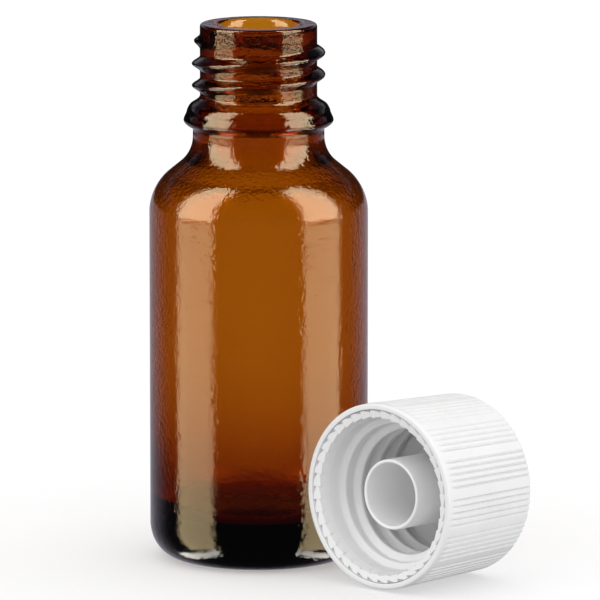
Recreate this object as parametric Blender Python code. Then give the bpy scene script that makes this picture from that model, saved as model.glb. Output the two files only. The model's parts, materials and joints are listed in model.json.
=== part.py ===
"""Amber glass screw-neck vial, with its white push-and-turn closure lying beside it.

The bottle stands on z = 0 with its axis on the world Z axis. The closure is two nested shells, a hollow
seal plug and a toothed tamper ring, all turned about one axis, and rests on its side in front of the
bottle with its mouth towards the viewer's left. Every outline below is a list of (radius, height) points
in millimetres, turned about its own axis.
"""

from math import asin, ceil, cos, pi, radians, sin

import bmesh
import bpy

MM = 0.001

# Bottle, millimetres: radii from its axis, heights from the surface it stands on.
BODY_RADIUS = 14.4
BODY_WALL = 1.5
FOOT_THICKENING = 1.1
HEEL_WIDTH = 3.7
HEEL_HEIGHT = 4.6
SHOULDER_START = 45.9
SHOULDER_ANGLE = 51.0
SHOULDER_CONVEX = 7.0
SHOULDER_CONCAVE = 4.5
COLLAR_RADIUS = 8.65
BEAD_RADIUS = 9.85
BEAD_BOTTOM = 57.1
FINISH_START = 61.4
FINISH_END = 69.4
FINISH_RADIUS = 7.7
BOTTLE_HEIGHT = 70.9
LIP_ROUNDING = 0.4
MOUTH_RADIUS = 5.7
BORE_RADIUS = 5.2
COLLAR_BORE = 6.3
BASE_RECESS_RADIUS = 8.4
BASE_RECESS = 0.4
BASE_RING_INNER = 9.0
CAVITY_FLOOR = 5.8

# Screw thread, one start, right-handed.
THREAD_PITCH = 2.9
THREAD_HEIGHT = 1.07
THREAD_HALF_WIDTH = 1.0
THREAD_LOW = 61.95
THREAD_FROM = 85.0
THREAD_TO = 925.0
THREAD_FADE = 45.0
THREAD_ROW = 0.42

# Closure, millimetres: heights run from its mouth (0) to its closed end.
CAP_MOUTH_RADIUS = 12.2
CAP_TOP_RADIUS = 11.7
CAP_LENGTH = 17.3
CAP_EDGE = 0.9
SHELL_BORE = 11.35
SHELL_BORE_TOP = 10.85
SHELL_TOP = 0.9
RIM_BAND = 1.5
RIB_PITCH_DEGREES = 4.0
RIBS_IN_GROUP = 6
RIB_PHASE_DEGREES = 16.0
RIB_DEPTH = 0.28
SNAP_BEAD = 0.4
SNAP_BEAD_TOP = 4.5
GAP = 0.3
PUSH_TRAVEL = 0.8
LUG_COUNT = 12
LUG_HEIGHT = 0.6
LUG_INNER = 6.6
LUG_OUTER = 9.4
SKIRT_START = 1.75
SKIRT_RADIUS = SHELL_BORE - GAP
COUNTERBORE_RADIUS = 9.95
COUNTERBORE_DEPTH = 3.9
CAP_THREAD_ROOT = 9.1
CAP_THREAD_HEIGHT = 0.95
CAP_THREAD_FIRST = 4.9
INNER_TOP = 0.8
PLUG_RADIUS = 4.6
PLUG_WALL = 0.45
PLUG_START = 2.5
PLUG_FLANGE = 5.8
RING_START = 0.15
RING_LENGTH = 1.3
TEETH = 40
TOOTH_TIP_RADIUS = 10.2
TOOTH_STEP = 0.25
TOOTH_DEPTH = 0.6

# Where the closure lies: its mouth's centre over the floor, and its turn about the vertical.
CAP_REST_X = 15.5
CAP_REST_Y = -23.1
CAP_YAW = 41.5
CAP_TILT = asin((CAP_MOUTH_RADIUS - CAP_TOP_RADIUS) / CAP_LENGTH)

SEGMENTS = 40

SHELL_CEILING = CAP_LENGTH - SHELL_TOP
INNER_CEILING = SHELL_CEILING - PUSH_TRAVEL - LUG_HEIGHT - 0.1 - INNER_TOP
PLUG_END = INNER_CEILING - GAP


def clear_scene():
    for obj in list(bpy.data.objects):
        bpy.data.objects.remove(obj, do_unlink=True)


def plastic(name, colour, roughness):
    material = bpy.data.materials.new(name)
    material.use_nodes = True
    shader = material.node_tree.nodes["Principled BSDF"]
    shader.inputs["Base Color"].default_value = (*colour, 1.0)
    shader.inputs["Roughness"].default_value = roughness
    shader.inputs["Metallic"].default_value = 0.0
    return material


def glass(name, colour, roughness):
    material = plastic(name, colour, roughness)
    shader = material.node_tree.nodes["Principled BSDF"]
    shader.inputs["Transmission Weight"].default_value = 1.0
    shader.inputs["IOR"].default_value = 1.52
    return material


def arc(centre, radii, start, stop, steps):
    """Points on an ellipse about centre, from start to stop degrees, both ends included."""
    angles = [radians(start + (stop - start) * i / steps) for i in range(steps + 1)]
    return [(centre[0] + radii[0] * cos(a), centre[1] + radii[1] * sin(a)) for a in angles]


def rows(radius_low, low, radius_high, high, spacing):
    """Evenly spaced points up a straight wall."""
    count = ceil((high - low) / spacing)
    return [
        (radius_low + (radius_high - radius_low) * i / count, low + (high - low) * i / count)
        for i in range(count + 1)
    ]


def shoulder(body, start, convex, concave, neck, steps):
    """The S-curve from a body radius up to a neck radius: a convex arc, a slope and a concave arc."""
    turn = radians(SHOULDER_ANGLE)
    points = arc((body - convex, start), (convex, convex), 0, SHOULDER_ANGLE, steps)
    slope_radius = neck + concave * (1 - cos(turn))
    slope_height = points[-1][1] + (points[-1][0] - slope_radius) / sin(turn) * cos(turn)
    centre = (neck + concave, slope_height + concave * sin(turn))
    return points + arc(centre, (concave, concave), 180 + SHOULDER_ANGLE, 180, steps)


def helix_ridge(angle, height, low, first, last, fade, half_width):
    """How much of a ridge's full height stands at this angle and height, from 0 to 1."""
    most = 0.0
    turn = angle + 360 * ceil((first - angle) / 360)
    while turn <= last:
        centre = low + THREAD_PITCH * (turn - first) / 360
        off = abs(height - centre)
        if off < half_width:
            ends = min(1.0, (turn - first) / fade, (last - turn) / fade)
            most = max(most, ends * (0.5 + 0.5 * cos(pi * off / half_width)))
        turn += 360
    return most


def bottle_thread(angle, radius, height):
    share = helix_ridge(
        angle, height, THREAD_LOW, THREAD_FROM, THREAD_TO, THREAD_FADE, THREAD_HALF_WIDTH
    )
    return radius + THREAD_HEIGHT * share, height


def cap_thread(angle, radius, height):
    share = helix_ridge(angle, height, CAP_THREAD_FIRST, 0.0, 1060.0, 60.0, 0.95)
    return radius - CAP_THREAD_HEIGHT * share, height


def ribs(angle, radius, height):
    """A groove every rib pitch, and none on the last place of each group."""
    place = (angle - RIB_PHASE_DEGREES) / RIB_PITCH_DEGREES
    nearest = round(place)
    grooved = abs(place - nearest) < 0.25 and nearest % RIBS_IN_GROUP
    return radius - (RIB_DEPTH if grooved else 0.0), height


def drive_lugs(turned, rise):
    """Raises every other sector of a flat ring, turned by half a sector or not."""
    sector = 360 / LUG_COUNT

    def raised(angle, radius, height):
        on_lug = (angle + turned * sector / 2) % sector < sector * 0.26
        return radius, height + (rise if on_lug else 0.0)

    return raised


def tooth_pockets(angle, radius, height):
    """Sinks a row towards each tooth's late edge, which leaves a wedge-shaped pocket."""
    into_tooth = angle * TEETH / 360 % 1.0
    return radius, height + TOOTH_DEPTH * max(0.0, into_tooth - 0.4) / 0.6


def tooth_tips(angle, radius, height):
    """Draws each tooth's tip outwards towards its late edge, which steps the tips like a saw."""
    into_tooth = angle * TEETH / 360 % 1.0
    return radius + TOOTH_STEP * into_tooth, height


def ring_of(bm, point, angles, shape, every):
    """One ring of vertices, or a single vertex for a point on the axis."""
    radius, height = point
    if radius == 0:
        return [bm.verts.new((0, 0, height * MM))]
    ring = []
    for angle in angles[::every]:
        r, h = shape(angle, radius, height) if shape else (radius, height)
        turn = radians(angle)
        ring.append(bm.verts.new((r * cos(turn) * MM, r * sin(turn) * MM, h * MM)))
    return ring


def bridge(bm, low, high):
    """Joins two rings, of which one may have a multiple of the other's vertices."""
    count = max(len(low), len(high))
    for i in range(count):
        corners = []
        for ring, step in ((low, 0), (low, 1), (high, 1), (high, 0)):
            corner = ring[(i + step) * len(ring) // count % len(ring)]
            if corner not in corners:
                corners.append(corner)
        bm.faces.new(corners)


def turned(name, sections, angles, material, closed_loop=False, smooth_degrees=35):
    """A solid turned from sections of outline: (points, shape or None, take every nth angle)."""
    bm = bmesh.new()
    rings = [
        ring_of(bm, point, angles, shape, every)
        for points, shape, every in sections
        for point in points
    ]
    pairs = zip(rings, rings[1:] + (rings[:1] if closed_loop else []))
    for low, high in pairs:
        bridge(bm, low, high)
    bmesh.ops.recalc_face_normals(bm, faces=bm.faces)
    mesh = bpy.data.meshes.new(name)
    bm.to_mesh(mesh)
    bm.free()
    mesh.shade_smooth()
    mesh.set_sharp_from_angle(angle=radians(smooth_degrees))
    mesh.materials.append(material)
    obj = bpy.data.objects.new(name, mesh)
    bpy.context.scene.collection.objects.link(obj)
    return obj


def even_angles(count):
    return [360 * i / count for i in range(count)]


def bottle_outside():
    """From the middle of the base, round the heel, up the body and shoulder to the bead's top."""
    base = [(0, BASE_RECESS), (BASE_RECESS_RADIUS, BASE_RECESS), (BASE_RING_INNER, 0)]
    heel_centre = (BODY_RADIUS - HEEL_WIDTH, HEEL_HEIGHT)
    heel = arc(heel_centre, (HEEL_WIDTH, HEEL_HEIGHT), -90, 0, 6)
    rise = shoulder(
        BODY_RADIUS, SHOULDER_START, SHOULDER_CONVEX, SHOULDER_CONCAVE, COLLAR_RADIUS, 5
    )
    bead_edge = (BEAD_RADIUS - 1.1, BEAD_BOTTOM + 1.1)
    bead = [(COLLAR_RADIUS, BEAD_BOTTOM)] + arc(bead_edge, (1.1, 1.1), -75, 10, 4)
    slope = [(9.45, 59.5), (9.15, 60.05), (8.7, 60.4), (8.1, 60.85)]
    return base + heel + rise + bead + slope


def bottle_finish():
    """The threaded wall under the lip."""
    return rows(FINISH_RADIUS, FINISH_START, FINISH_RADIUS, FINISH_END, THREAD_ROW)


def bottle_lip_and_inside():
    """Over the lip, down the bore and the inner wall to the middle of the cavity's floor."""
    lip_centre = (FINISH_RADIUS - LIP_ROUNDING, BOTTLE_HEIGHT - LIP_ROUNDING)
    lip = arc(lip_centre, (LIP_ROUNDING, LIP_ROUNDING), 0, 90, 3)
    mouth = [(MOUTH_RADIUS, BOTTLE_HEIGHT), (BORE_RADIUS + 0.1, BOTTLE_HEIGHT - 0.4)]
    throat = [(BORE_RADIUS, BOTTLE_HEIGHT - 1.0), (BORE_RADIUS + 0.2, 64.0)]
    inner = BODY_RADIUS - BODY_WALL
    rise = shoulder(inner, SHOULDER_START - 0.7, 5.6, 5.2, COLLAR_BORE, 4)
    foot = inner - FOOT_THICKENING
    wall = [(inner, 28), (inner - 0.3, 17.5)]
    floor = arc((foot - 3.2, CAVITY_FLOOR + 3.0), (3.2, 3.0), -5, -90, 4)
    return lip + mouth + throat + rise[::-1] + wall + floor + [(0, CAVITY_FLOOR + 0.3)]


def make_bottle(material):
    sections = [
        (bottle_outside(), None, 1),
        (bottle_finish(), bottle_thread, 1),
        (bottle_lip_and_inside(), None, 1),
    ]
    return turned("glass_bottle", sections, even_angles(SEGMENTS), material)


def shell_radius(height):
    """The outer shell's taper, mouth to closed end."""
    return CAP_MOUTH_RADIUS + (CAP_TOP_RADIUS - CAP_MOUTH_RADIUS) * height / CAP_LENGTH


def shell_bore(height):
    return SHELL_BORE + (SHELL_BORE_TOP - SHELL_BORE) * height / SHELL_CEILING


def make_outer_cap(material):
    """Ribbed cover: a smooth band at the mouth, grooves to the rounded edge, drive lugs inside its top."""
    fine, coarse = 1, 3
    grooves_end = CAP_LENGTH - CAP_EDGE
    rim = [(SHELL_BORE + 0.1, 0), (shell_radius(0) - 0.2, 0), (shell_radius(0.2), 0.2)]
    band = [(shell_radius(RIM_BAND), RIM_BAND)]
    grooves = [(shell_radius(h), h) for h in (RIM_BAND + 0.2, grooves_end - 0.2)]
    edge_centre = (shell_radius(grooves_end) - CAP_EDGE, grooves_end)
    edge = arc(edge_centre, (CAP_EDGE, CAP_EDGE), 0, 90, 3)
    lug_ring = [(LUG_INNER, SHELL_CEILING), (LUG_OUTER, SHELL_CEILING)]
    ceiling_in = [(0, SHELL_CEILING), (LUG_INNER - 0.2, SHELL_CEILING)]
    ceiling_out = [(LUG_OUTER + 0.2, SHELL_CEILING), (shell_bore(SHELL_CEILING), SHELL_CEILING)]
    bead_radius = shell_bore(SNAP_BEAD_TOP) - SNAP_BEAD
    bore = [
        (shell_bore(SNAP_BEAD_TOP), SNAP_BEAD_TOP),
        (bead_radius, SNAP_BEAD_TOP - 0.3),
        (bead_radius, SNAP_BEAD_TOP - 0.5),
        (shell_bore(SNAP_BEAD_TOP - 0.8), SNAP_BEAD_TOP - 0.8),
    ]
    sections = [
        (ceiling_in, None, coarse),
        (lug_ring, drive_lugs(1, -LUG_HEIGHT), coarse),
        (ceiling_out + bore, None, coarse),
        (rim, None, coarse),
        (band, None, fine),
        (grooves, ribs, fine),
        (edge[:1], None, fine),
        (edge[1:] + [(0, CAP_LENGTH)], None, coarse),
    ]
    angles = [RIB_PHASE_DEGREES + a for a in even_angles(180)]
    return turned("outer_cap", sections, angles, material)


def make_inner_cap(material):
    """Threaded closure inside the shell: counterbore for the neck's bead, thread, ceiling, drive lugs."""
    outer_top = INNER_CEILING + INNER_TOP
    top_radius = shell_bore(outer_top) - GAP
    groove_low = SNAP_BEAD_TOP - 0.8 - PUSH_TRAVEL - 0.45
    groove_high = SNAP_BEAD_TOP + 0.15
    thread_zone = rows(
        CAP_THREAD_ROOT, COUNTERBORE_DEPTH + 0.15, CAP_THREAD_ROOT, INNER_CEILING - 0.15, 0.45
    )
    inside = [(0, INNER_CEILING), (CAP_THREAD_ROOT - 0.1, INNER_CEILING)]
    counterbore = [(COUNTERBORE_RADIUS, COUNTERBORE_DEPTH), (COUNTERBORE_RADIUS + 0.1, SKIRT_START)]
    outside = [
        (SKIRT_RADIUS, SKIRT_START),
        (SKIRT_RADIUS, groove_low),
        (SKIRT_RADIUS - 0.5, groove_low + 0.15),
        (SKIRT_RADIUS - 0.5, groove_high),
        (SKIRT_RADIUS - 0.15, groove_high + 0.3),
        (top_radius, outer_top - 0.3),
        (top_radius - 0.3, outer_top),
        (LUG_OUTER + 0.2, outer_top),
    ]
    lug_ring = [(LUG_OUTER, outer_top), (LUG_INNER, outer_top)]
    sections = [
        (inside, None, 1),
        (thread_zone[::-1], cap_thread, 1),
        (counterbore + outside, None, 1),
        (lug_ring, drive_lugs(0, LUG_HEIGHT), 1),
        ([(LUG_INNER - 0.2, outer_top), (0, outer_top)], None, 1),
    ]
    return turned("inner_cap", sections, even_angles(48), material)


def make_seal_plug(material):
    """Thin hollow plug on a flange, open towards the mouth, which seals and doses through the neck."""
    bore = PLUG_RADIUS - PLUG_WALL
    rim = arc((PLUG_RADIUS - PLUG_WALL / 2, PLUG_START + PLUG_WALL / 2), (PLUG_WALL / 2,) * 2, -180, 0, 4)
    flange = [
        (PLUG_RADIUS - 0.05, PLUG_END - 1.1),
        (PLUG_FLANGE, PLUG_END - 0.8),
        (PLUG_FLANGE, PLUG_END),
        (0, PLUG_END),
    ]
    points = [(0, PLUG_END - 0.8), (bore - 0.4, PLUG_END - 0.8), (bore - 0.1, PLUG_END - 1.2)]
    return turned("seal_plug", [(points + rim + flange, None, 1)], even_angles(40), material)


def make_tamper_ring(material):
    """Band just inside the mouth: a ring of ratchet teeth that hooks under the neck's bead."""
    low, high = RING_START, RING_START + RING_LENGTH
    sections = [
        ([(SKIRT_RADIUS, low + 0.1), (SKIRT_RADIUS - 0.06, low)], None, 1),
        ([(SKIRT_RADIUS - 0.14, low + 0.02)], tooth_pockets, 1),
        ([(SKIRT_RADIUS - 0.42, low + 0.08)], None, 1),
        ([(TOOTH_TIP_RADIUS, low + 0.25)], tooth_tips, 1),
        ([(TOOTH_TIP_RADIUS, high), (SKIRT_RADIUS, high)], None, 1),
    ]
    tooth = 360 / TEETH
    angles = [tooth * (i + part) for i in range(TEETH) for part in (0.0, 0.4, 0.94)]
    return turned("tamper_ring", sections, angles, material, closed_loop=True)


def lay_down(pieces):
    """Parents the closure to an empty on its axis and lays it on its side on the floor."""
    axis = bpy.data.objects.new("closure_axis", None)
    bpy.context.scene.collection.objects.link(axis)
    axis.location = (CAP_REST_X * MM, CAP_REST_Y * MM, CAP_MOUTH_RADIUS * cos(CAP_TILT) * MM)
    axis.rotation_euler = (-(pi / 2 + CAP_TILT), 0, -radians(CAP_YAW))
    for piece in pieces:
        piece.parent = axis


def main():
    clear_scene()
    amber = glass("amber_glass", (0.42, 0.13, 0.01), 0.03)
    ribbed = plastic("ribbed_polypropylene", (0.86, 0.86, 0.86), 0.38)
    smooth = plastic("smooth_polypropylene", (0.80, 0.80, 0.80), 0.42)
    soft = plastic("plug_polyethylene", (0.78, 0.78, 0.78), 0.35)
    make_bottle(amber)
    lay_down(
        [
            make_outer_cap(ribbed),
            make_inner_cap(smooth),
            make_seal_plug(soft),
            make_tamper_ring(smooth),
        ]
    )


main()
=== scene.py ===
"""Looks of an amber glass screw-neck vial and its white push-and-turn closure.

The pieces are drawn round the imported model's frame, in metres with Z up.
"""

import json
from math import cos, pi, radians, sin

import bmesh
import bpy
import numpy as np
from mathutils import Matrix, Vector

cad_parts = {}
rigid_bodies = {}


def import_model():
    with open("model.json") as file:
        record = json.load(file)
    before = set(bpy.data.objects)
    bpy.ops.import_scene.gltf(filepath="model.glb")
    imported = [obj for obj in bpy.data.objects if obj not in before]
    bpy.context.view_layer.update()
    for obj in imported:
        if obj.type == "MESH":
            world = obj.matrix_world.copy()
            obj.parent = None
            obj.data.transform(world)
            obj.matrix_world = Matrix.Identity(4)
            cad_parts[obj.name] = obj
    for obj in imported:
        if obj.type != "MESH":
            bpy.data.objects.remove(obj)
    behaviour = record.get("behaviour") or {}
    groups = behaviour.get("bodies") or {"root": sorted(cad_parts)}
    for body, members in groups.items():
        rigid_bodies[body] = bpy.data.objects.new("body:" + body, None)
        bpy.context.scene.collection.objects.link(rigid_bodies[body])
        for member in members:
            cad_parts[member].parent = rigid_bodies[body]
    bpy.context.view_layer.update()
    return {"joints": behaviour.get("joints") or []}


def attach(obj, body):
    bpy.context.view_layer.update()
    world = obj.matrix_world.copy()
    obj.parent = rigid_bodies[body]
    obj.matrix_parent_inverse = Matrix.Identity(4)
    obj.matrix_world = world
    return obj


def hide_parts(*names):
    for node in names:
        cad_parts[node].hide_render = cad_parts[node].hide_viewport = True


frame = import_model()

MM = 0.001

# Bottle, millimetres.
BODY_RADIUS = 14.4
BODY_WALL = 1.5
FOOT_THICKENING = 1.1
HEEL_WIDTH = 3.7
HEEL_HEIGHT = 4.6
SHOULDER_START = 45.9
SHOULDER_ANGLE = 51.0
SHOULDER_CONVEX = 7.0
SHOULDER_CONCAVE = 4.5
COLLAR_RADIUS = 8.65
FINISH_RADIUS = 7.7
FINISH_START = 61.4
FINISH_END = 69.6
BOTTLE_HEIGHT = 70.9
LIP_ROUNDING = 0.42
MOUTH_RADIUS = 5.75
BORE_RADIUS = 5.2
COLLAR_BORE = 6.5
CAVITY_FLOOR = 5.8
THREAD_PITCH = 2.9
THREAD_HEIGHT = 1.07
THREAD_LOW = 61.95
THREAD_FROM = 85.0
THREAD_TO = 925.0

# Closure, millimetres from its mouth.
CAP_MOUTH_RADIUS = 12.2
CAP_TOP_RADIUS = 11.7
CAP_LENGTH = 17.3
CAP_EDGE = 0.9
SHELL_BORE = 11.35
SHELL_BORE_TOP = 10.85
SHELL_CEILING = 16.4
RIM_BAND = 1.05
RIB_PITCH = 4.0
RIBS_IN_GROUP = 6
RIB_PHASE = 16.0
RIB_DEPTH = 0.3
SKIRT_START = 1.75
SKIRT_RADIUS = 11.05
RING_RADIUS = 11.27
SNAP_BEAD_TOP = 4.5
COUNTERBORE_RADIUS = 9.95
COUNTERBORE_DEPTH = 3.9
CAP_THREAD_ROOT = 9.1
CAP_THREAD_HEIGHT = 0.95
CAP_THREAD_FIRST = 4.9
INNER_CEILING = 14.1
INNER_TOP = 0.8
PLUG_RADIUS = 4.6
PLUG_WALL = 0.45
PLUG_START = 2.5
PLUG_END = 13.8
PLUG_FLANGE = 5.8
RING_START = 0.15
RING_END = 1.45
TEETH = 40
TOOTH_TIP_RADIUS = 10.2
TOOTH_STEP = 0.22
TOOTH_WEDGE = 0.44
TOOTH_DEPTH = 0.42
LUGS_FROM = 6.6
LUGS_TO = 9.4
LUG_SPACING = 30
LUG_WIDTH = 7.8
LUG_HEIGHT = 0.6
SOFT_EDGE = 0.2

# Studio, metres and degrees. An azimuth is 0 on the camera's side and grows to the right.
SOFTBOX_DISTANCE = 0.9
# Each softbox: name, azimuth, width, lowest and highest edge, radiance and colour.
SOFTBOXES = (
    ("strip", 71.5, 0.75, 0.035, 2.3, 9.0, (1.0, 0.79, 0.50)),
    ("strip_low", 71.5, 0.75, -0.75, -0.035, 4.8, (1.0, 0.76, 0.42)),
    ("strip_foot", 92, 1.5, -1.40, -0.92, 6.8, (1.0, 0.95, 0.85)),
)
FILL_DISTANCE = 1.3
FILL_SIZE = 0.9
# Each fill light: name, azimuth, elevation and radiance.
FILLS = (("fill_left", -66, 44, 1.5), ("fill_right", 52, 14, 1.6))
FLOOR_HALF = 12.0
FLOOR_DROP = 0.00015
FLAG_BACK = 0.06
FLAG_LOW = 0.047
FLAG_HIGH = 0.077
FLAG_HALF = 0.3

# Camera, metres, with the frame's width in pixels and the sensor's in millimetres.
CAMERA_TILT = 9.6
CAMERA_DISTANCE = 0.950
CAMERA_AIM = (0.00544, 0, 0.03410)
PIXELS_PER_MM = 7.58
FRAME_WIDTH = 600
SENSOR_WIDTH = 36


# Shapes


def arc(centre, radii, start, stop, steps):
    """Points on an ellipse about centre, from start to stop degrees, both ends included."""
    angles = [radians(start + (stop - start) * i / steps) for i in range(steps + 1)]
    return [(centre[0] + radii[0] * cos(a), centre[1] + radii[1] * sin(a)) for a in angles]


def line(start, stop, spacing):
    """Evenly spaced points from start to stop, both ends included."""
    start, stop = np.array(start, float), np.array(stop, float)
    count = max(1, int(np.linalg.norm(stop - start) / spacing))
    return [tuple(start + (stop - start) * i / count) for i in range(count + 1)]


def smooth(points, steps):
    """A Catmull-Rom curve through the points."""
    p = np.array([points[0], *points, points[-1]], float)
    found = []
    for a, b, c, d in zip(p, p[1:], p[2:], p[3:]):
        for t in np.arange(steps) / steps:
            found.append(
                tuple(
                    0.5 * (2 * b + (c - a) * t + (2 * a - 5 * b + 4 * c - d) * t**2)
                    + 0.5 * (3 * b - a - 3 * c + d) * t**3
                )
            )
    return found + [tuple(p[-1])]


def shoulder(body, start, convex, concave, neck, steps):
    """The S-curve from the body up to the neck: a convex arc, a slope and a concave arc."""
    turn = radians(SHOULDER_ANGLE)
    points = arc((body - convex, start), (convex, convex), 0, SHOULDER_ANGLE, steps)
    slope_radius = neck + concave * (1 - cos(turn))
    slope_height = points[-1][1] + (points[-1][0] - slope_radius) / sin(turn) * cos(turn)
    centre = (neck + concave, slope_height + concave * sin(turn))
    return points + arc(centre, (concave, concave), 180 + SHOULDER_ANGLE, 180, steps)


def ridge(angle, height, low, first, last, fade, profile):
    """How much of a helical ridge's full height stands at each angle and height, from 0 to 1."""
    most = np.zeros(np.broadcast(angle, height).shape)
    for whole in range(int((last - first) // 360) + 2):
        turn = angle + 360 * (np.ceil((first - angle) / 360) + whole)
        centre = low + THREAD_PITCH * (turn - first) / 360
        ends = np.clip(np.minimum(turn - first, last - turn) / fade, 0, 1)
        ends = ends * ends * (3 - 2 * ends)
        most = np.maximum(most, ends * profile(np.abs(height - centre)))
    return most


def round_ridge(off):
    """A rounded glass ridge, 2 mm across its foot."""
    return np.where(off < 1.0, 0.5 + 0.5 * np.cos(pi * np.minimum(off, 1.0)), 0.0) ** 0.85


def flat_ridge(off):
    """A moulded ridge with a narrow flat crest."""
    t = np.clip((0.78 - off) / 0.6, 0, 1)
    return t * t * (3 - 2 * t)


def bottle_thread(angle, radius, height):
    share = ridge(angle, height, THREAD_LOW, THREAD_FROM, THREAD_TO, 45.0, round_ridge)
    return radius + THREAD_HEIGHT * share, height


def cap_thread(angle, radius, height):
    share = ridge(angle, height, CAP_THREAD_FIRST, 0.0, 1060.0, 50.0, flat_ridge)
    return radius - CAP_THREAD_HEIGHT * share, height


def ribs(depth):
    """Grooves of this depth, one every rib pitch, and none on the last place of each group."""

    def grooved(angle, radius, height):
        place = (angle - RIB_PHASE) / RIB_PITCH
        nearest = np.round(place)
        off = np.abs(place - nearest)
        cut = np.where(off < 0.25, 0.5 + 0.5 * np.cos(pi * off / 0.25), 0.0)
        return radius - depth * cut * (nearest % RIBS_IN_GROUP != 0), height

    return grooved


def drive_lugs(turned_by, rise):
    """Raises a lug in each spacing of a flat ring, turned by so many degrees."""

    def raised(angle, radius, height):
        return radius, height + np.where((angle + turned_by) % LUG_SPACING < LUG_WIDTH, rise, 0.0)

    return raised


def saw_teeth(angle, radius, height):
    """Steps the tips like a saw, and cuts a wedge-shaped pocket into the rim side of each tooth."""
    into_tooth = (angle * TEETH / 360) % 1.0
    rim_side = np.clip((radius - TOOTH_TIP_RADIUS) / (RING_RADIUS - TOOTH_TIP_RADIUS), 0, 1)
    wedge = TOOTH_WEDGE * np.clip((into_tooth - 0.3) / 0.7, 0, 1)
    inside = np.clip((rim_side - (1 - wedge)) / 0.10, 0, 1)
    inside = inside * np.clip((1.02 - rim_side) / 0.06, 0, 1)
    sunk = TOOTH_DEPTH * inside * (0.4 + 0.6 * into_tooth)
    return radius + TOOTH_STEP * into_tooth * (1 - rim_side), height + sunk


def turned(name, sections, angles, loop=False):
    """A closed mesh turned from sections of outline, each (points, shape or None)."""
    rows = []
    for points, shape in sections:
        radius = np.array([p[0] for p in points])[:, None] + 0 * angles
        height = np.array([p[1] for p in points])[:, None] + 0 * angles
        if shape:
            radius, height = shape(angles[None, :], radius, height)
        rows.append(np.stack([radius, height + 0 * radius], -1))
    rows = np.concatenate(rows)
    turn = np.radians(angles)
    count = len(angles)
    verts, rings = [], []
    for row in rows:
        first = len(verts)
        if row[0, 0] < 1e-9:
            verts.append((0.0, 0.0, row[0, 1] * MM))
            rings.append([first] * count)
            continue
        ring = np.stack([row[:, 0] * np.cos(turn), row[:, 0] * np.sin(turn), row[:, 1]], -1) * MM
        verts.extend(map(tuple, ring))
        rings.append(list(range(first, first + count)))
    faces = []
    for low, high in zip(rings, rings[1:] + (rings[:1] if loop else [])):
        for i in range(count):
            j = (i + 1) % count
            corners = [low[i], low[j], high[j], high[i]]
            faces.append(tuple(dict.fromkeys(corners)))
    mesh = bpy.data.meshes.new(name)
    mesh.from_pydata(verts, [], faces)
    bm = bmesh.new()
    bm.from_mesh(mesh)
    bmesh.ops.recalc_face_normals(bm, faces=bm.faces)
    bm.to_mesh(mesh)
    bm.free()
    mesh.shade_smooth()
    piece = bpy.data.objects.new(name, mesh)
    bpy.context.scene.collection.objects.link(piece)
    return piece


def even_angles(count):
    return np.arange(count) * 360.0 / count


# Materials


def new_material(name):
    material = bpy.data.materials.new(name)
    material.use_nodes = True
    tree = material.node_tree
    return material, tree, tree.nodes["Principled BSDF"]


def noise(tree, scale, detail=3.0, stretch=(1, 1, 1)):
    """Noise in the object's own space, scale in features per metre."""
    place = tree.nodes.new("ShaderNodeTexCoord")
    mapping = tree.nodes.new("ShaderNodeMapping")
    mapping.inputs["Scale"].default_value = stretch
    texture = tree.nodes.new("ShaderNodeTexNoise")
    texture.inputs["Scale"].default_value = scale
    texture.inputs["Detail"].default_value = detail
    tree.links.new(place.outputs["Object"], mapping.inputs["Vector"])
    tree.links.new(mapping.outputs["Vector"], texture.inputs["Vector"])
    return texture.outputs["Fac"]


def spread(tree, value, low, high):
    """Maps noise from about 0.3..0.7 to low..high."""
    node = tree.nodes.new("ShaderNodeMapRange")
    node.inputs["From Min"].default_value = 0.3
    node.inputs["From Max"].default_value = 0.7
    node.inputs["To Min"].default_value = low
    node.inputs["To Max"].default_value = high
    tree.links.new(value, node.inputs["Value"])
    return node.outputs["Result"]


def bump(tree, value, strength, distance, under=None):
    """Small relief from value, up to distance metres deep, on top of any earlier relief."""
    node = tree.nodes.new("ShaderNodeBump")
    node.inputs["Strength"].default_value = strength
    node.inputs["Distance"].default_value = distance
    tree.links.new(value, node.inputs["Height"])
    if under:
        tree.links.new(under, node.inputs["Normal"])
    return node.outputs["Normal"]


def tint(tree, value, dark, light):
    """A colour between two, by noise of about 0.3..0.7."""
    ramp = tree.nodes.new("ShaderNodeValToRGB")
    ramp.color_ramp.elements[0].position = 0.3
    ramp.color_ramp.elements[0].color = (*dark, 1)
    ramp.color_ramp.elements[1].position = 0.7
    ramp.color_ramp.elements[1].color = (*light, 1)
    tree.links.new(value, ramp.inputs["Fac"])
    return ramp.outputs["Color"]


def amber_glass():
    """Moulded amber glass: clear and glossy, a little uneven, and coloured by what it absorbs."""
    material, tree, shader = new_material("amber_glass")
    shader.inputs["Transmission Weight"].default_value = 1.0
    shader.inputs["IOR"].default_value = 1.52
    tone = tint(tree, noise(tree, 60), (0.90, 0.76, 0.47), (0.94, 0.81, 0.52))
    tree.links.new(tone, shader.inputs["Base Color"])
    tree.links.new(spread(tree, noise(tree, 400), 0.0, 0.02), shader.inputs["Roughness"])
    slow = bump(tree, noise(tree, 170, 2.0, (1, 1, 0.45)), 0.25, 0.0002)
    fine = bump(tree, noise(tree, 1000, 2.5), 0.3, 0.00008, slow)
    skin = bump(tree, noise(tree, 2000, 2.0), 0.6, 0.00005, fine)
    tree.links.new(skin, shader.inputs["Normal"])
    absorb = tree.nodes.new("ShaderNodeVolumeAbsorption")
    absorb.inputs["Color"].default_value = (0.822, 0.630, 0.032, 1)
    absorb.inputs["Density"].default_value = 1860.0
    tree.links.new(absorb.outputs["Volume"], tree.nodes["Material Output"].inputs["Volume"])
    return material


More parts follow.
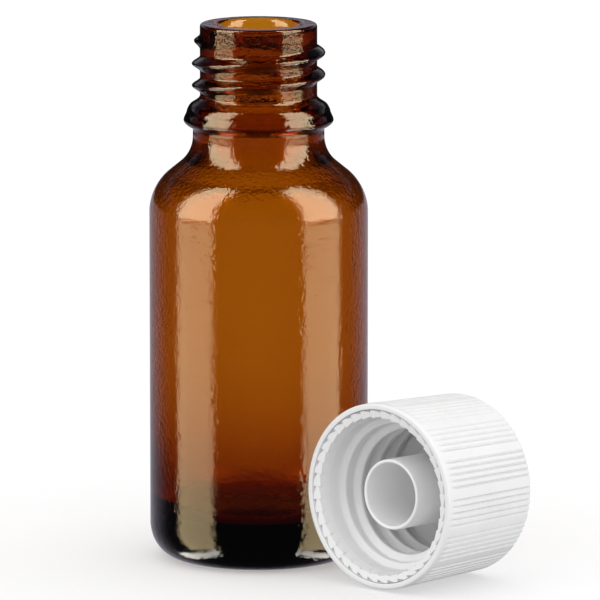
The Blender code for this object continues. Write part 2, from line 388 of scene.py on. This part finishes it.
def white_plastic(name, dark, light, rough, grain):
    """Moulded white polyolefin: satin, slightly translucent, with a fine grain from the tool."""
    material, tree, shader = new_material(name)
    shader.inputs["IOR"].default_value = 1.5
    shader.inputs["Specular IOR Level"].default_value = 0.45
    shader.inputs["Subsurface Weight"].default_value = 0.08
    shader.inputs["Subsurface Radius"].default_value = (0.0011, 0.0010, 0.0009)
    shader.inputs["Subsurface Scale"].default_value = 1.0
    tone = tint(tree, noise(tree, 180), (dark,) * 3, (light,) * 3)
    tree.links.new(tone, shader.inputs["Base Color"])
    gloss = spread(tree, noise(tree, 700), rough - 0.05, rough + 0.06)
    tree.links.new(gloss, shader.inputs["Roughness"])
    slow = bump(tree, noise(tree, 260, 2.0), 0.1, 0.00005)
    fine = bump(tree, noise(tree, grain, 4.0), 0.15, 0.000012, slow)
    tree.links.new(fine, shader.inputs["Normal"])
    return material


def finish_piece(piece, material, body, node, sharp=None):
    """Gives a piece its material and its place in the model. Edges over sharp degrees stay hard."""
    if sharp:
        piece.data.set_sharp_from_angle(angle=radians(sharp))
    piece.data.materials.append(material)
    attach(piece, body)
    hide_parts(node)


# Bottle


def make_bottle():
    """The bottle as one piece of glass, outside and inside, with its bore open."""
    base = [(0, 0.4), (5.0, 0.4), (8.2, 0.38), (8.7, 0.2), (9.0, 0.03), (9.2, 0)]
    heel = arc((BODY_RADIUS - HEEL_WIDTH, HEEL_HEIGHT), (HEEL_WIDTH, HEEL_HEIGHT), -90, 0, 28)
    wall = line((BODY_RADIUS, HEEL_HEIGHT + 1), (BODY_RADIUS, SHOULDER_START - 1), 2.0)
    rise = shoulder(
        BODY_RADIUS, SHOULDER_START, SHOULDER_CONVEX, SHOULDER_CONCAVE, COLLAR_RADIUS, 22
    )
    bead = smooth(
        [
            (COLLAR_RADIUS, 56.4),
            (COLLAR_RADIUS, 56.95),
            (8.78, 57.18),
            (9.25, 57.43),
            (9.61, 57.70),
            (9.83, 58.02),
            (9.83, 58.35),
            (9.68, 58.72),
            (9.49, 59.15),
            (9.39, 59.55),
            (9.12, 60.07),
            (8.84, 60.34),
            (8.42, 60.60),
            (8.0, 60.92),
            (7.76, 61.2),
        ],
        5,
    )
    outside = base + heel + wall + rise + bead
    finish = line((FINISH_RADIUS, FINISH_START), (FINISH_RADIUS, FINISH_END), 0.1)
    lip = arc(
        (FINISH_RADIUS - LIP_ROUNDING, BOTTLE_HEIGHT - LIP_ROUNDING),
        (LIP_ROUNDING, LIP_ROUNDING),
        0,
        90,
        9,
    )
    mouth = smooth(
        [
            (6.6, BOTTLE_HEIGHT),
            (6.0, BOTTLE_HEIGHT),
            (MOUTH_RADIUS, BOTTLE_HEIGHT - 0.08),
            (MOUTH_RADIUS - 0.3, BOTTLE_HEIGHT - 0.38),
            (BORE_RADIUS + 0.05, BOTTLE_HEIGHT - 0.9),
            (BORE_RADIUS, BOTTLE_HEIGHT - 1.6),
            (BORE_RADIUS + 0.02, 67.0),
            (BORE_RADIUS + 0.2, 64.0),
            (COLLAR_BORE - 0.6, 60.5),
            (COLLAR_BORE - 0.08, 57.2),
        ],
        5,
    )
    inner = BODY_RADIUS - BODY_WALL
    inside = shoulder(inner, SHOULDER_START - 0.1, 5.5, 5.0, COLLAR_BORE, 16)[::-1]
    low_inner = inner - FOOT_THICKENING
    inner_wall = line((inner, SHOULDER_START - 2), (inner, 30), 2.0)
    taper = smooth(
        [
            (inner, 28),
            (inner - 0.12, 21),
            (inner - 0.45, 15),
            (low_inner, CAVITY_FLOOR + 3.4),
        ],
        8,
    )
    corner = arc((low_inner - 3.2, CAVITY_FLOOR + 3.0), (3.2, 3.0), -6, -90, 16)
    floor = smooth(
        [(6.5, CAVITY_FLOOR + 0.03), (3.2, CAVITY_FLOOR + 0.2), (0, CAVITY_FLOOR + 0.3)], 5
    )
    sections = [
        (outside, None),
        (finish, bottle_thread),
        (lip + mouth + inside + inner_wall + taper + corner + floor, None),
    ]
    piece = turned("bottle_glass", sections, even_angles(240))
    finish_piece(piece, amber_glass(), "bottle", "glass_bottle")
    return piece


# Closure


def shell_radius(height):
    return CAP_MOUTH_RADIUS + (CAP_TOP_RADIUS - CAP_MOUTH_RADIUS) * height / CAP_LENGTH


def shell_bore(height):
    return SHELL_BORE + (SHELL_BORE_TOP - SHELL_BORE) * height / SHELL_CEILING


def closure_frame():
    """The closure's own axes, from its turning joint: z inward, x level and y downward."""
    joint = next(j for j in frame["joints"] if j["name"] == "shell_turn")
    z = Vector(joint["axis"]).normalized()
    x = Vector((z.y, -z.x, 0)).normalized()
    y = z.cross(x)
    axes = Matrix((x, y, z)).transposed().to_4x4()
    return Matrix.Translation(Vector(joint["pos_m"])) @ axes


def make_shell(place, material):
    """The ribbed outer shell, with a smooth band at its mouth a little inside the ribs' crests."""
    band = 0.08
    rim = (
        arc((SHELL_BORE + 0.12, 0.12), (0.12, 0.12), 180, 270, 4)
        + arc((shell_radius(0) - band - 0.3, 0.3), (0.3, 0.3), 270, 360, 6)
        + [(shell_radius(RIM_BAND) - band, RIM_BAND - 0.15)]
    )
    edge_start = CAP_LENGTH - CAP_EDGE
    skirt = [(shell_radius(RIM_BAND + 0.3), RIM_BAND + 0.3)] + line(
        (shell_radius(RIM_BAND + 1), RIM_BAND + 1), (shell_radius(edge_start), edge_start), 2.4
    )
    centre = (shell_radius(edge_start) - CAP_EDGE, edge_start)
    edge_out = arc(centre, (CAP_EDGE, CAP_EDGE), 12, 48, 3)
    edge_in = arc(centre, (CAP_EDGE, CAP_EDGE), 60, 90, 3)
    dished = CAP_LENGTH - 0.05
    top = [(9.0, CAP_LENGTH), (8.7, dished), (4.0, dished), (0, dished)]
    bead_radius = shell_bore(SNAP_BEAD_TOP) - 0.4
    bore = [
        (shell_bore(SHELL_CEILING), SHELL_CEILING),
        (shell_bore(SNAP_BEAD_TOP), SNAP_BEAD_TOP),
        (bead_radius, SNAP_BEAD_TOP - 0.3),
        (bead_radius, SNAP_BEAD_TOP - 0.5),
        (shell_bore(SNAP_BEAD_TOP - 0.8), SNAP_BEAD_TOP - 0.8),
    ]
    ceiling = SHELL_CEILING
    sections = [
        ([(0, ceiling), (LUGS_FROM - SOFT_EDGE, ceiling)], None),
        ([(LUGS_FROM, ceiling), (LUGS_TO, ceiling)], drive_lugs(LUG_SPACING / 2, -LUG_HEIGHT)),
        ([(LUGS_TO + SOFT_EDGE, ceiling)] + bore + rim, None),
        (skirt, ribs(RIB_DEPTH)),
        (edge_out, ribs(RIB_DEPTH * 0.8)),
        (edge_in + top, None),
    ]
    piece = turned("closure_shell", sections, even_angles(720))
    piece.matrix_world = place
    finish_piece(piece, material, "shell", "outer_cap", 40)


def make_inner_cap(place, material):
    """The threaded cap inside the shell, with the counterbore that clears the bottle's bead."""
    outer_top = INNER_CEILING + INNER_TOP
    top_radius = shell_bore(outer_top) - 0.3
    low, high = SNAP_BEAD_TOP - 2.05, SNAP_BEAD_TOP + 0.15
    ceiling = smooth([(0, INNER_CEILING), (5.0, INNER_CEILING), (8.2, INNER_CEILING)], 4)
    zone = line((CAP_THREAD_ROOT, INNER_CEILING - 0.3), (CAP_THREAD_ROOT, 4.25), 0.09)
    step = smooth(
        [
            (CAP_THREAD_ROOT + 0.05, 4.15),
            (CAP_THREAD_ROOT + 0.2, 4.0),
            (COUNTERBORE_RADIUS - 0.2, COUNTERBORE_DEPTH),
            (COUNTERBORE_RADIUS, COUNTERBORE_DEPTH - 0.2),
            (COUNTERBORE_RADIUS + 0.05, 2.6),
            (COUNTERBORE_RADIUS + 0.1, SKIRT_START + 0.05),
        ],
        4,
    )
    outside = [
        (COUNTERBORE_RADIUS + 0.15, SKIRT_START),
        (SKIRT_RADIUS, SKIRT_START),
        (SKIRT_RADIUS, low),
        (SKIRT_RADIUS - 0.5, low + 0.15),
        (SKIRT_RADIUS - 0.5, high),
        (SKIRT_RADIUS - 0.15, high + 0.3),
        (top_radius, outer_top - 0.3),
        (top_radius - 0.3, outer_top),
        (LUGS_TO + SOFT_EDGE, outer_top),
    ]
    sections = [
        (ceiling, None),
        ([(8.8, INNER_CEILING)], None),
        (zone, cap_thread),
        (step + outside, None),
        ([(LUGS_TO, outer_top), (LUGS_FROM, outer_top)], drive_lugs(0, LUG_HEIGHT)),
        ([(LUGS_FROM - SOFT_EDGE, outer_top), (0, outer_top)], None),
    ]
    piece = turned("closure_thread", sections, even_angles(240))
    piece.matrix_world = place
    finish_piece(piece, material, "liner", "inner_cap", 40)


def make_plug(place, material):
    """The tube in the middle of the closure, closed and stepped at its root."""
    bore = PLUG_RADIUS - PLUG_WALL
    half = PLUG_WALL / 2
    inside = smooth(
        [
            (0, PLUG_END - 0.8),
            (1.3, PLUG_END - 0.8),
            (1.45, PLUG_END - 0.95),
            (2.6, PLUG_END - 1.0),
            (bore - 0.5, PLUG_END - 1.3),
            (bore - 0.12, PLUG_END - 2.2),
            (bore - 0.04, 7.0),
            (bore, PLUG_START + half),
        ],
        6,
    )
    rim = arc((PLUG_RADIUS - half, PLUG_START + half), (half, half), 190, 350, 10)
    outside = line((PLUG_RADIUS, PLUG_START + half), (PLUG_RADIUS - 0.05, PLUG_END - 1.1), 1.5)
    flange = [
        (PLUG_FLANGE - 0.2, PLUG_END - 0.8),
        (PLUG_FLANGE, PLUG_END - 0.6),
        (PLUG_FLANGE, PLUG_END),
        (0, PLUG_END),
    ]
    piece = turned("closure_plug", [(inside + rim + outside + flange, None)], even_angles(160))
    piece.matrix_world = place
    finish_piece(piece, material, "plug", "seal_plug", 45)


def make_ring(place, material):
    """The ring of teeth just inside the closure's mouth."""
    tip = TOOTH_TIP_RADIUS
    face = line((RING_RADIUS - 0.06, RING_START + 0.01), (tip, RING_START + 0.22), 0.05)
    inner_wall = [(tip, RING_START + 0.75), (tip - 0.12, SKIRT_START + 0.05)]
    sections = [
        ([(RING_RADIUS, RING_END), (RING_RADIUS, RING_START + 0.06)], None),
        ([(RING_RADIUS - 0.03, RING_START)], None),
        (face + [(tip, RING_START + 0.3)], saw_teeth),
        (inner_wall, None),
    ]
    tooth = 360 / TEETH
    parts = (0.0, 0.1, 0.2, 0.3, 0.38, 0.46, 0.54, 0.62, 0.71, 0.8, 0.89, 0.965)
    angles = np.array([tooth * (i + part) for i in range(TEETH) for part in parts])
    piece = turned("closure_teeth", sections, angles, loop=True)
    piece.matrix_world = place
    finish_piece(piece, material, "liner", "tamper_ring", 30)


# Studio


def card(name, corners):
    """A flat piece of the studio with four corners."""
    mesh = bpy.data.meshes.new(name)
    mesh.from_pydata(corners, [], [(0, 1, 2, 3)])
    piece = bpy.data.objects.new(name, mesh)
    bpy.context.scene.collection.objects.link(piece)
    return piece


def make_floor():
    """A pale floor just under the object, which doesn't light it and doesn't show in its gloss."""
    half = FLOOR_HALF
    floor = card("floor", [(-half, -half, 0), (half, -half, 0), (half, half, 0), (-half, half, 0)])
    floor.location = (0, 0, -FLOOR_DROP)
    material, tree, shader = new_material("pale_floor")
    shader.inputs["Roughness"].default_value = 0.9
    shader.inputs["Specular IOR Level"].default_value = 0.0
    tone = tint(tree, noise(tree, 12), (0.68, 0.68, 0.68), (0.70, 0.70, 0.70))
    tree.links.new(tone, shader.inputs["Base Color"])
    shader.inputs["Emission Color"].default_value = (1, 1, 1, 1)
    shader.inputs["Emission Strength"].default_value = 0.35
    floor.data.materials.append(material)
    floor.visible_glossy = False
    floor.visible_diffuse = False


def area_light(name, azimuth, elevation, distance, width, height, radiance, colour):
    """A lit panel that faces the origin, from an azimuth and elevation in degrees."""
    light = bpy.data.lights.new(name, "AREA")
    light.shape = "RECTANGLE"
    light.size = width
    light.size_y = height
    light.energy = radiance * pi * width * height
    light.color = colour
    holder = bpy.data.objects.new(name, light)
    turn, lift = radians(azimuth), radians(elevation)
    level = cos(lift) * distance
    holder.location = (sin(turn) * level, -cos(turn) * level, sin(lift) * distance)
    holder.rotation_euler = (pi / 2 - lift, 0, turn)
    holder.visible_camera = False
    bpy.context.scene.collection.objects.link(holder)
    return holder


def softbox(name, azimuth, width, low, high, radiance, colour, bottle_only):
    """An upright panel from one height to another, which lights only the bottle."""
    holder = area_light(name, azimuth, 0, SOFTBOX_DISTANCE, width, high - low, radiance, colour)
    holder.location.z = (low + high) / 2
    holder.light_linking.receiver_collection = bottle_only
    holder.light_linking.blocker_collection = bottle_only


def between(tree, value, low, high, at_low, at_high):
    """A smooth step from one strength to another as value goes from low to high."""
    node = tree.nodes.new("ShaderNodeMapRange")
    node.interpolation_type = "SMOOTHSTEP"
    node.inputs["From Min"].default_value = low
    node.inputs["From Max"].default_value = high
    node.inputs["To Min"].default_value = at_low
    node.inputs["To Max"].default_value = at_high
    tree.links.new(value, node.inputs["Value"])
    return node.outputs["Result"]


def multiply(tree, first, second):
    node = tree.nodes.new("ShaderNodeMath")
    node.operation = "MULTIPLY"
    tree.links.new(first, node.inputs[0])
    tree.links.new(second, node.inputs[1])
    return node.outputs["Value"]


def choose(tree, factor, without, with_it):
    node = tree.nodes.new("ShaderNodeMix")
    node.data_type = "FLOAT"
    tree.links.new(factor, node.inputs["Factor"])
    for socket, value in (("A", without), ("B", with_it)):
        if isinstance(value, float):
            node.inputs[socket].default_value = value
        else:
            tree.links.new(value, node.inputs[socket])
    return node.outputs["Result"]


def make_world():
    """White to the camera and through glass, dark in front to gloss, and a sky to matt surfaces."""
    world = bpy.data.worlds.new("studio")
    world.use_nodes = True
    tree = world.node_tree
    background = tree.nodes["Background"]
    place = tree.nodes.new("ShaderNodeTexCoord")
    split = tree.nodes.new("ShaderNodeSeparateXYZ")
    path = tree.nodes.new("ShaderNodeLightPath")
    tree.links.new(place.outputs["Generated"], split.inputs["Vector"])
    low = between(tree, split.outputs["Z"], 0.17, 0.45, 1.0, 0.12)
    behind = multiply(tree, between(tree, split.outputs["Y"], 0.3, 0.97, 0.04, 0.5), low)
    sky = between(tree, split.outputs["Z"], -1.0, 0.0, 0.30, 0.98)
    strength = choose(tree, path.outputs["Is Glossy Ray"], 1.0, behind)
    strength = choose(tree, path.outputs["Is Diffuse Ray"], strength, sky)
    tree.links.new(strength, background.inputs["Strength"])
    cast = tree.nodes.new("ShaderNodeMix")
    cast.data_type = "RGBA"
    cast.inputs["A"].default_value = (1, 1, 1, 1)
    cast.inputs["B"].default_value = (0.92, 0.86, 1.0, 1)
    tree.links.new(path.outputs["Is Glossy Ray"], cast.inputs["Factor"])
    tree.links.new(cast.outputs["Result"], background.inputs["Color"])
    bpy.context.scene.world = world


def make_camera():
    """At the distance and downward tilt the object is seen from, with a long lens."""
    tilt = radians(CAMERA_TILT)
    data = bpy.data.cameras.new("camera")
    data.sensor_width = SENSOR_WIDTH
    data.lens = PIXELS_PER_MM * CAMERA_DISTANCE * 1000 * SENSOR_WIDTH / FRAME_WIDTH
    data.clip_start = 0.05
    data.clip_end = 50
    camera = bpy.data.objects.new("camera", data)
    camera.location = Vector(CAMERA_AIM) + Vector((0, -cos(tilt), sin(tilt))) * CAMERA_DISTANCE
    camera.rotation_euler = (pi / 2 - tilt, 0, 0)
    bpy.context.scene.collection.objects.link(camera)
    bpy.context.scene.camera = camera


def make_flag():
    """A black card behind the neck, seen only in reflections, which keeps the neck's edges dark."""
    half, low, high = FLAG_HALF, FLAG_LOW, FLAG_HIGH
    ends = ((-half, low), (half, low), (half, high), (-half, high))
    flag = card("flag", [(x, FLAG_BACK, z) for x, z in ends])
    material, tree, shader = new_material("black_card")
    shader.inputs["Base Color"].default_value = (0.01, 0.01, 0.01, 1)
    shader.inputs["Roughness"].default_value = 0.9
    flag.data.materials.append(material)
    flag.visible_camera = False
    flag.visible_diffuse = False
    flag.visible_transmission = False
    flag.visible_shadow = False


def make_studio(bottle):
    """The floor, the card, the world, the bottle's softboxes and the closure's fill lights."""
    bottle_only = bpy.data.collections.new("bottle_only")
    closure_only = bpy.data.collections.new("closure_only")
    for piece in bpy.context.scene.objects:
        if piece.type != "MESH":
            continue
        if piece == bottle:
            bottle_only.objects.link(piece)
        else:
            closure_only.objects.link(piece)
            piece.visible_glossy = False
    make_floor()
    make_flag()
    make_world()
    for side in (-1, 1):
        for name, azimuth, *rest in SOFTBOXES:
            softbox(name, side * azimuth, *rest, bottle_only)
    for name, azimuth, elevation, radiance in FILLS:
        size = FILL_SIZE
        fill = area_light(name, azimuth, elevation, FILL_DISTANCE, size, size, radiance, (1, 1, 1))
        fill.light_linking.receiver_collection = closure_only
        fill.light_linking.blocker_collection = closure_only
    bpy.context.scene.view_settings.view_transform = "Standard"


bottle = make_bottle()
closure = closure_frame()
smooth_plastic = white_plastic("closure_plastic", 0.84, 0.87, 0.40, 5200)
make_shell(closure, white_plastic("shell_plastic", 0.84, 0.87, 0.42, 4200))
make_inner_cap(closure, smooth_plastic)
make_ring(closure, smooth_plastic)
# The plug's white is painted lighter than the shell's and the liner's. This painted light brightens
# the tube, which sits in the closure's shade.
make_plug(closure, white_plastic("plug_plastic", 0.91, 0.93, 0.34, 6000))
make_studio(bottle)
make_camera()
